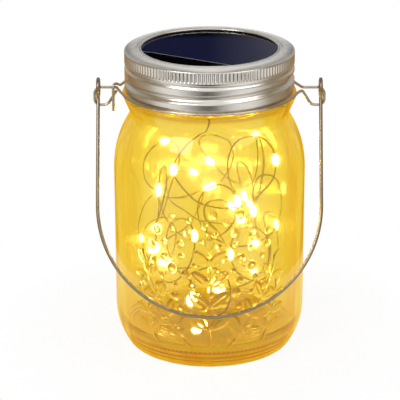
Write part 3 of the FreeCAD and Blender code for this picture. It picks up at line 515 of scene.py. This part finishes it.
# Painted light: an amber emission at the grazing rims, in drawn streaks, stands in for lamp light led
# along the wall.
rim = add(tree, "ShaderNodeLayerWeight", {"Blend": 0.5})
painted_glow_share = add(tree, "ShaderNodeMapRange", {
    "From Min": 0.4, "From Max": 1.0, "To Min": 0.0, "To Max": 0.85}, {"Value": rim.outputs["Facing"]})
drawn = add(tree, "ShaderNodeMapping", {"Scale": (1.0, 1.0, streak_stretch)},
            {"Vector": place.outputs["Object"]})
streaks = add(tree, "ShaderNodeTexNoise", {"Scale": 1 / streak_width, "Detail": 2.0},
              {"Vector": drawn.outputs["Vector"]})
rim_tone = add(tree, "ShaderNodeValToRGB", {"stops": [
    (0.38, "#F2A808"), (0.5, "#FFC414"), (0.62, "#FFD448")]}, {"Fac": streaks.outputs["Fac"]})
painted_rim_glow = add(tree, "ShaderNodeEmission", {"Strength": 1.0}, {"Color": rim_tone.outputs["Color"]})
surface = add(tree, "ShaderNodeMixShader", links={
    0: painted_glow_share.outputs["Result"], 1: pressed.outputs["Shader"], 2: painted_rim_glow.outputs["Emission"]})
tint = add(tree, "ShaderNodeVolumeAbsorption", {"Color": linear("#FAF600"), "Density": 260.0})
tree.links.new(surface.outputs["Shader"], output.inputs["Surface"])
tree.links.new(tint.outputs["Volume"], output.inputs["Volume"])
jar.data.materials.append(glass)
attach(jar, "jar")
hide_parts("glass_jar")

# Neck hoop: one length of bright drawn steel wire, bent cold round the neck, with an ear at each
# side; it lies on the flared bead under the band.
wire_scuff = 0.0015


def drawn_wire(name, dark, light):
    """Drawn steel wire between two tones, with scuffs from the bending that dull it in places."""
    material, tree, output = new_material(name)
    place = add(tree, "ShaderNodeTexCoord")
    scuff = add(tree, "ShaderNodeTexNoise", {"Scale": 1 / wire_scuff, "Detail": 4.0},
                {"Vector": place.outputs["Object"]})
    rough = add(tree, "ShaderNodeMapRange", {"To Min": 0.20, "To Max": 0.26},
                {"Value": scuff.outputs["Fac"]})
    tone = add(tree, "ShaderNodeValToRGB", {"stops": [(0.3, dark), (0.7, light)]},
               {"Fac": scuff.outputs["Fac"]})
    surface = add(tree, "ShaderNodeBsdfPrincipled", {"Metallic": 1.0}, {
        "Base Color": tone.outputs["Color"], "Roughness": rough.outputs["Result"]})
    tree.links.new(surface.outputs["BSDF"], output.inputs["Surface"])
    return material


def finish_node(node, material):
    """A CAD node keeps its shape and takes that finish."""
    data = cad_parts[node].data
    data.materials.clear()
    data.materials.append(material)


# Bright tie wire: pale and clean, so that it reads as one with the band above it.
finish_node("neck_hoop", drawn_wire("bright_drawn_tie_wire", "#BDB2A0", "#D2C8B6"))

# Bail: the carrying handle, a thicker drawn steel wire bent to a bow, with an eye at each end that
# is closed round the upper strand of an ear.
# Steel wire: a browner grey, a painted reflection of the amber glass beside it.
finish_node("bail_handle", drawn_wire("bright_drawn_steel_wire", "#8C7F68", "#9A8C74"))

# Rim gasket: a flat ring cut from soft silicone sheet, laid on the rim of the glass to seal the
# insert and keep it from rattling.
low_mottle, high_mottle, gloss_drift = 0.35, 0.65, 0.2


def mottled(name, dark, light, grain, roughness, metallic=0.0):
    """A finish whose tone drifts between two colours over a grain of that size, and whose
    roughness drifts a fifth to either side with it. A grain finer than about half a millimetre
    is drawn that coarse, so that it shows."""
    material, tree, output = new_material(name)
    place = add(tree, "ShaderNodeTexCoord")
    mottle = add(tree, "ShaderNodeTexNoise", {"Scale": 1 / grain, "Detail": 3.0},
                 {"Vector": place.outputs["Object"]})
    tone = add(tree, "ShaderNodeValToRGB", {"stops": [(low_mottle, dark), (high_mottle, light)]},
               {"Fac": mottle.outputs["Fac"]})
    rough = add(tree, "ShaderNodeMapRange", {
        "To Min": roughness * (1 - gloss_drift), "To Max": roughness * (1 + gloss_drift)},
        {"Value": mottle.outputs["Fac"]})
    surface = add(tree, "ShaderNodeBsdfPrincipled", {"Metallic": metallic}, {
        "Base Color": tone.outputs["Color"], "Roughness": rough.outputs["Result"]})
    tree.links.new(surface.outputs["BSDF"], output.inputs["Surface"])
    return material


# Milky silicone: off-white and dull, with soft clouds.
finish_node("rim_gasket", mottled("milky_silicone", "#D9D6CE", "#E8E6E0", 0.002, 0.5))

# Housing, bottom cover and switch body: injection mouldings; the housing hangs in the mouth by its
# flange, three screws hold the cover under it, and the switch body is soldered to the board.
# Black ABS: nearly black, with a spark-eroded grain, drawn coarse, that keeps it from shining.
black_abs = mottled("moulded_black_abs", "#0B0B0C", "#161617", 0.0008, 0.45)
finish_node("lid_housing", black_abs)
finish_node("bottom_cover", black_abs)
finish_node("switch_body", black_abs)

# Cover screws: three small self-tapping screws driven into the bosses of the housing.
# Bright zinc: a cool pale metal with a fine crystalline drift.
finish_node("cover_screws", mottled("bright_zinc", "#9A9C9E", "#C2C4C6", 0.0006, 0.3, metallic=1.0))

# Battery cell: a small round rechargeable cell that lies in the cradle of the cover.
# Shrink sleeve: glossy green film drawn tight over the steel can.
finish_node("battery_cell", mottled("green_shrink_sleeve", "#1F6B33", "#2A8444", 0.004, 0.25))

# Contacts and spring: stamped strips slid against the end walls of the cradle, and a coil of plated
# wire that presses the cell.
# Nickel plate: a warm bright metal, lightly rubbed.
nickel = mottled("nickel_plate", "#A9A8A4", "#CFCEC9", 0.001, 0.25, metallic=1.0)
finish_node("plus_contact", nickel)
finish_node("minus_contact", nickel)
finish_node("minus_spring", nickel)

# Circuit board: a small glass-epoxy board on four posts of the cover.
# Solder mask: satin dark green, with the weave faintly under it.
finish_node("circuit_board", mottled("green_solder_mask", "#0C4A25", "#14663A", 0.001, 0.35))

# Control chip: a small flat package of filled epoxy, soldered on the board.
# Dark epoxy: charcoal, evenly matt.
finish_node("control_chip", mottled("filled_dark_epoxy", "#0A0A0D", "#141419", 0.001, 0.4))

# Coil: a drum of pressed and fired ferrite, soldered on the board.
# Fired ferrite: dark grey and stony.
finish_node("coil_inductor", mottled("fired_ferrite", "#232326", "#34343A", 0.0005, 0.6))

# Switch slider: the moving knob of the switch, which comes through the slot of the cover.
# White acetal: waxy off-white plastic.
finish_node("switch_slider", mottled("white_acetal", "#C9C8C2", "#DEDDD8", 0.001, 0.4))

# String grommet and black leads: soft black rubber; the grommet is moulded and snapped in the
# cover, the leads are sleeved stranded wire soldered at both ends.
# Black rubber: dull and very dark.
black_rubber = mottled("soft_black_rubber", "#0E0E0E", "#1B1B1B", 0.0008, 0.6)
finish_node("string_grommet", black_rubber)
finish_node("black_leads", black_rubber)

# Red leads: stranded wire in an extruded sleeve, soldered at both ends.
# Red insulation: an even deep red with a soft gloss.
finish_node("red_leads", mottled("red_pvc_insulation", "#8F120C", "#B3221A", 0.002, 0.35))

# Solar panel: a silicon wafer laminated on a dark backing under one navy film; fine silver fingers
# cross it every 1.5 mm, and a collecting bar runs along its front edge.
panel_turn = math.radians(30)
finger_pitch = 0.0015
waves_per_metre = 20 / (2 * math.pi)  # of Blender's wave texture at a scale of 1
bar_y, bar_half, film_edge_y = -0.0152, 0.00025, -0.0155
far_side_start, far_side_end = 0.018, 0.026

# Navy silicon film: dark blue with a faint weave of fingers, black in front of the bar and in the
# shade of the lip; the resin above it gives the gloss, so it has no shine of its own.
wafer, tree, output = new_material("navy_silicon_wafer")
place = add(tree, "ShaderNodeTexCoord")
turned_place = add(tree, "ShaderNodeMapping", {"Rotation": (0.0, 0.0, panel_turn)},
                   {"Vector": place.outputs["Object"]})
fingers = add(tree, "ShaderNodeTexWave", {
    "Scale": 1 / (waves_per_metre * finger_pitch), "bands_direction": "X"},
    {"Vector": turned_place.outputs["Vector"]})
tone = add(tree, "ShaderNodeValToRGB", {"stops": [
    (0.0, "#2C3060"), (0.9, "#34386C"), (1.0, "#4E5484")]}, {"Fac": fingers.outputs["Fac"]})
local = add(tree, "ShaderNodeSeparateXYZ", links={"Vector": turned_place.outputs["Vector"]})
bar = add(tree, "ShaderNodeMath", {"operation": "COMPARE", 1: bar_y, 2: bar_half},
          {0: local.outputs["Y"]})
marked = add(tree, "ShaderNodeMixRGB", {"Color2": linear("#E6E8F4")}, {
    "Fac": bar.outputs["Value"], "Color1": tone.outputs["Color"]})
behind_bar = add(tree, "ShaderNodeMath", {"operation": "GREATER_THAN", 1: film_edge_y},
                 {0: local.outputs["Y"]})
framed = add(tree, "ShaderNodeMixRGB", {"Color1": linear("#0A0A0D")}, {
    "Fac": behind_bar.outputs["Value"], "Color2": marked.outputs["Color"]})
straight = add(tree, "ShaderNodeSeparateXYZ", links={"Vector": place.outputs["Object"]})
far_side = add(tree, "ShaderNodeMapRange", {"From Min": far_side_start, "From Max": far_side_end},
               {"Value": straight.outputs["Y"]})
faded = add(tree, "ShaderNodeMixRGB", {"Color2": linear("#08080B")}, {
    "Fac": far_side.outputs["Result"], "Color1": framed.outputs["Color"]})
surface = add(tree, "ShaderNodeBsdfPrincipled", {"Roughness": 0.25, "Specular IOR Level": 0.0},
              {"Base Color": faded.outputs["Color"]})
tree.links.new(surface.outputs["BSDF"], output.inputs["Surface"])
finish_node("solar_cell", wafer)
finish_node("panel_backing", wafer)

# Panel lens: clear resin poured over the wafer and set flat in the recess of the housing; it is one
# open skin here, the side and the top, because the wafer lies against its underside.
lens_radius, lens_bottom, lens_top, lens_sides = 0.0307, 0.13206, 0.13255, 96
ripple_size = 0.010
lens_profile = np.array([(lens_radius, lens_bottom), (lens_radius, lens_top), (axis_hole, lens_top)])
lens_angles = np.arange(lens_sides) * 2 * math.pi / lens_sides
lens = grid_mesh("panel_resin", turned_surface(lens_profile, lens_angles), wrap_columns=True)
lens.data.shade_flat()

# Poured resin: quite clear from above and a mirror of the room at a low angle, barely rippled.
lens_resin, tree, output = new_material("poured_clear_resin")
place = add(tree, "ShaderNodeTexCoord")
ripple = add(tree, "ShaderNodeTexNoise", {"Scale": 1 / ripple_size, "Detail": 1.0},
             {"Vector": place.outputs["Object"]})
rough = add(tree, "ShaderNodeMapRange", {"To Min": 0.02, "To Max": 0.06}, {"Value": ripple.outputs["Fac"]})
mirror = add(tree, "ShaderNodeBsdfGlossy", {"Color": linear("#FFFFFF")},
             {"Roughness": rough.outputs["Result"]})
clear = add(tree, "ShaderNodeBsdfTransparent", {"Color": linear("#FDFDFF")})
edge_on = add(tree, "ShaderNodeFresnel", {"IOR": 1.45})
surface = add(tree, "ShaderNodeMixShader", links={
    0: edge_on.outputs["Fac"], 1: clear.outputs["BSDF"], 2: mirror.outputs["BSDF"]})
tree.links.new(surface.outputs["Shader"], output.inputs["Surface"])
lens.data.materials.append(lens_resin)
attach(lens, "solar_insert")
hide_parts("panel_lens")

# Screw band: thin tinplate drawn and rolled to a ring, with a knurled grip, a tuck under it, a
# rolled thread in the skirt and a rolled lip round the opening; it screws on the thread of the jar.
band_radius, band_sheet, band_bottom, band_top = 0.0365, 0.00035, 0.1147, 0.1336
band_opening, dome_width, dome_height = 0.0292, 0.0054, 0.0014
crease_radius, crease_half, crease_depth, lip_round = 0.0307, 0.0003, 0.0003, 0.0004
tuck_height, tuck_depth, tuck_width = 0.1261, 0.00065, 0.0006
grip_low, grip_high, grip_edge = 0.12786, 0.13230, 0.0005
grip_count, grip_depth, columns_per_ridge = 137, 0.00030, 6
groove_start, groove_turns, groove_fade = 0.11959, 0.85, 0.05
groove_depth, groove_half = 0.0013, 0.0019
lip_in, lip_down, flat_radius, flat_down = 0.0002, 0.0011, 0.0315, 0.0009
corner_in, crease_lead = 0.0003, 0.3


def skirt_radius(heights, angles):
    """Outside of the skirt: a cylinder with a helical groove, an annular tuck and grip ridges."""
    up = heights[:, None]
    share = np.mod(angles + math.pi, 2 * math.pi) / (2 * math.pi)
    fade = np.clip(np.minimum(share, groove_turns - share) / groove_fade, 0.0, 1.0)
    away = (up - groove_start - thread_pitch * share) / groove_half
    groove = groove_depth * np.clip(1 - away ** 2, 0.0, 1.0) ** 1.5 * (fade * fade * (3 - 2 * fade))
    tuck = tuck_depth * np.exp(-((up - tuck_height) / tuck_width) ** 2)
    rise = (np.clip((up - grip_low) / grip_edge, 0.0, 1.0)
            * np.clip((grip_high - up) / grip_edge, 0.0, 1.0))
    ridge = grip_depth * rise * (0.5 - 0.5 * np.cos(grip_count * angles))
    return band_radius - groove - tuck - ridge


def skirt_surface(heights, angles, inset):
    """The skirt's surface at those heights and angles, moved inwards by inset."""
    wall = turned_surface(np.stack([np.ones_like(heights), heights], axis=-1), angles)
    wall[..., :2] *= (skirt_radius(heights, angles) - inset)[..., None]
    return wall


band_columns = grip_count * columns_per_ridge
band_angles = np.arange(band_columns) * 2 * math.pi / band_columns
# Rows of the skirt: even up to the tuck, and closer there and at both edges of the grip.
skirt_up = np.concatenate([
    np.linspace(band_bottom, tuck_height - 0.001, 31),
    np.linspace(tuck_height - 0.0008, tuck_height + 0.0012, 9),
    np.linspace(grip_low - 0.0002, grip_low + 0.0006, 5),
    np.linspace(grip_low + 0.0014, grip_high - 0.0006, 3),
    np.linspace(grip_high - 0.0004, band_top - dome_height, 4),
])
# The lid's section: over the dome, down into the crease, round the lip and back underneath.
dome = arc((0.0, 0.0), 1.0, 6.0, 90.0, 14) * (dome_width, dome_height)
lid_profile = np.concatenate([
    dome + (band_radius - dome_width, band_top - dome_height),
    [(crease_radius + crease_half, band_top - crease_lead * crease_depth),
     (crease_radius, band_top - crease_depth)],
    arc((band_opening + lip_round, band_top - lip_round), lip_round, 50.0, 200.0, 11),
    [(band_opening + lip_in, band_top - lip_down), (flat_radius, band_top - flat_down)],
    [(band_radius - band_sheet - corner_in, band_top - dome_height - corner_in)],
])
band = grid_mesh("screw_band_sheet", np.concatenate([
    skirt_surface(skirt_up, band_angles, 0.0),
    turned_surface(lid_profile, band_angles),
    skirt_surface(skirt_up[::-2], band_angles, band_sheet),
]), wrap_rows=True, wrap_columns=True)

# Satin tinplate: rolled sheet with a soft even sheen and faint marks that run round it.
mark_size, mark_stretch = 0.004, 8.0
tinplate, tree, output = new_material("satin_tinplate")
place = add(tree, "ShaderNodeTexCoord")
stretched = add(tree, "ShaderNodeMapping", {"Scale": (1.0, 1.0, mark_stretch)},
                {"Vector": place.outputs["Object"]})
marks = add(tree, "ShaderNodeTexNoise", {"Scale": 1 / mark_size, "Detail": 5.0},
            {"Vector": stretched.outputs["Vector"]})
tone = add(tree, "ShaderNodeValToRGB", {"stops": [(0.3, "#DAD6CF"), (0.7, "#E4E1DB")]},
           {"Fac": marks.outputs["Fac"]})
rough = add(tree, "ShaderNodeMapRange", {"To Min": 0.20, "To Max": 0.30}, {"Value": marks.outputs["Fac"]})
surface = add(tree, "ShaderNodeBsdfPrincipled", {"Metallic": 1.0}, {
    "Base Color": tone.outputs["Color"], "Roughness": rough.outputs["Result"]})
tree.links.new(surface.outputs["BSDF"], output.inputs["Surface"])
band.data.materials.append(tinplate)
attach(band, "band")
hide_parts("screw_band")

# Studio table: a round white top that keeps the jar's shadow; metal and glass see it white too,
# with a painted pool of amber light under and close to the jar, deeper towards the middle, for light that
# falls through the glass.
table_radius, table_hole, table_sides = 0.12, 0.0001, 64
painted_pool_reach = 0.095
white_start, white_end, shade_kept = 0.045, 0.110, 0.10
table_profile = np.array([(table_hole, 0.0), (table_radius, 0.0)])
table_angles = np.arange(table_sides) * 2 * math.pi / table_sides
table = grid_mesh("studio_table", turned_surface(table_profile, table_angles)[::-1], wrap_columns=True)

# White card: matt, seen by the camera as the white of the background from a hand's breadth on.
table_white, tree, output = new_material("white_studio_table")
ray = add(tree, "ShaderNodeLightPath")
matt = add(tree, "ShaderNodeBsdfDiffuse", {"Color": linear("#F4F4F4")})
place = add(tree, "ShaderNodeTexCoord")
reach = add(tree, "ShaderNodeVectorMath", {"operation": "LENGTH"}, {0: place.outputs["Object"]})
nearness = add(tree, "ShaderNodeMapRange", {"From Min": 0.0, "From Max": painted_pool_reach},
               {"Value": reach.outputs["Value"]})
# Painted light: an amber pool round the jar, seen only in metal and glass, deeper towards the middle.
painted_amber_pool = add(tree, "ShaderNodeValToRGB", {"stops": [
    (0.15, "#A08028"), (0.36, "#DCB840"), (0.5, "#FFF0C4"), (1.0, "#FFFFFF")]},
    {"Fac": nearness.outputs["Result"]})
painted_pool_light = add(tree, "ShaderNodeEmission", {"Strength": 1.0}, {"Color": painted_amber_pool.outputs["Color"]})
glow = add(tree, "ShaderNodeEmission", {"Color": linear("#FFFFFF"), "Strength": 1.0})
through = add(tree, "ShaderNodeMath", {"operation": "MAXIMUM"}, {
    0: ray.outputs["Is Glossy Ray"], 1: ray.outputs["Is Transmission Ray"]})
whiten = add(tree, "ShaderNodeMapRange", {
    "From Min": white_start, "From Max": white_end, "To Min": 1 - shade_kept, "To Max": 1.0},
    {"Value": reach.outputs["Value"]})
direct = add(tree, "ShaderNodeMath", {"operation": "MULTIPLY"}, {
    0: ray.outputs["Is Camera Ray"], 1: whiten.outputs["Result"]})
plain = add(tree, "ShaderNodeMixShader", links={
    0: direct.outputs["Value"], 1: matt.outputs["BSDF"], 2: glow.outputs["Emission"]})
surface = add(tree, "ShaderNodeMixShader", links={
    0: through.outputs["Value"], 1: plain.outputs["Shader"], 2: painted_pool_light.outputs["Emission"]})
tree.links.new(surface.outputs["Shader"], output.inputs["Surface"])
table.data.materials.append(table_white)

# Studio room: white to the camera and through the glass. In the metal it is a ring of walls with
# white panels and dark gaps, low ones for the skirt of the band and high ones for its lid, and a
# black flag stands low behind the jar, which keeps the panel from shining.
low_walls_top, high_walls_foot = -0.2, -0.05
world = bpy.data.worlds.new("white_studio")
bpy.context.scene.world = world
world.use_nodes = True
tree = world.node_tree
tree.nodes.clear()
output = tree.nodes.new("ShaderNodeOutputWorld")
ray = add(tree, "ShaderNodeLightPath")
place = add(tree, "ShaderNodeTexCoord")
facing = add(tree, "ShaderNodeMapping", {"Rotation": (0.0, 0.0, math.pi / 2)},
             {"Vector": place.outputs["Generated"]})
bearing = add(tree, "ShaderNodeTexGradient", {"gradient_type": "RADIAL"},
              {"Vector": facing.outputs["Vector"]})
low_walls = add(tree, "ShaderNodeValToRGB", {"stops": [
    (0.000, "#C09450"), (0.100, "#B89058"), (0.150, "#A0845C"), (0.250, "#B0A590"),
    (0.320, "#FFFFFF"), (0.380, "#FFFFFF"), (0.440, "#A8A5A0"), (0.480, "#3C3833"),
    (0.510, "#3C3833"), (0.550, "#B8B5B0"), (0.610, "#FFFFFF"), (0.670, "#FFFFFF"),
    (0.750, "#A59A86"), (0.850, "#A0845C"), (0.900, "#B89058"), (1.000, "#C09450")]},
    {"Fac": bearing.outputs["Fac"]})
high_walls = add(tree, "ShaderNodeValToRGB", {"stops": [
    (0.000, "#FFFFFF"), (0.012, "#FFFFFF"), (0.030, "#A8A7A5"), (0.100, "#C0BFBD"),
    (0.250, "#8A7650"), (0.500, "#FFFFFF"), (0.750, "#8A7650"), (0.900, "#C0BFBD"),
    (0.970, "#A8A7A5"), (0.988, "#FFFFFF"), (1.000, "#FFFFFF")]},
    {"Fac": bearing.outputs["Fac"]})
flag_width = add(tree, "ShaderNodeValToRGB", {"stops": [
    (0.000, "#FFFFFF"), (0.0085, "#FFFFFF"), (0.011, "#D4D4D4"), (0.045, "#D4D4D4"),
    (0.060, "#000000"), (0.940, "#000000"), (0.955, "#D4D4D4"), (0.989, "#D4D4D4"),
    (0.9925, "#DCDCDC"), (0.9985, "#FFFFFF")]},
    {"Fac": bearing.outputs["Fac"]})
outlook = add(tree, "ShaderNodeSeparateXYZ", links={"Vector": place.outputs["Generated"]})
climb = add(tree, "ShaderNodeMapRange", {"From Min": low_walls_top, "From Max": high_walls_foot},
            {"Value": outlook.outputs["Z"]})
flag_height = add(tree, "ShaderNodeValToRGB", {"stops": [
    (0.190, "#000000"), (0.220, "#FFFFFF"), (0.320, "#FFFFFF"), (0.350, "#000000")]},
    {"Fac": outlook.outputs["Z"]})
flag = add(tree, "ShaderNodeMath", {"operation": "MULTIPLY"}, {
    0: flag_width.outputs["Color"], 1: flag_height.outputs["Color"]})
ceiling = add(tree, "ShaderNodeMixRGB", {"Color2": linear("#08080A")}, {
    "Fac": flag.outputs["Value"], "Color1": high_walls.outputs["Color"]})
walls = add(tree, "ShaderNodeMixRGB", links={
    "Fac": climb.outputs["Result"], "Color1": low_walls.outputs["Color"],
    "Color2": ceiling.outputs["Color"]})
room = add(tree, "ShaderNodeBackground", {"Strength": 1.0}, {"Color": walls.outputs["Color"]})
white = add(tree, "ShaderNodeBackground", {"Color": linear("#FFFFFF"), "Strength": 1.0})
seen = add(tree, "ShaderNodeMath", {"operation": "MAXIMUM"}, {
    0: ray.outputs["Is Camera Ray"], 1: ray.outputs["Is Transmission Ray"]})
surface = add(tree, "ShaderNodeMixShader", links={
    0: seen.outputs["Value"], 1: room.outputs["Background"], 2: white.outputs["Background"]})
tree.links.new(surface.outputs["Shader"], output.inputs["Surface"])

# Studio lamps: two large soft boxes, the key from the left and the fill high on the right, both
# turned to the middle of the jar.
lamp_aim = np.array([0.0, 0.0, 0.07])
for name, stand, size, power in [
    ("key_lamp", (-0.7, -0.8, 0.9), 0.6, 6.0),
    ("fill_lamp", (0.75, -0.45, 1.05), 0.8, 3.3),
]:
    data = bpy.data.lights.new(name, "AREA")
    data.size = size
    data.energy = power
    lamp = bpy.data.objects.new(name, data)
    bpy.context.scene.collection.objects.link(lamp)
    lamp.location = stand
    away = np.array(stand) - lamp_aim
    tilt = math.acos(away[2] / np.linalg.norm(away))
    lamp.rotation_euler = (tilt, 0.0, math.atan2(away[1], away[0]) + math.pi / 2)

bpy.context.scene.view_settings.view_transform = "Standard"
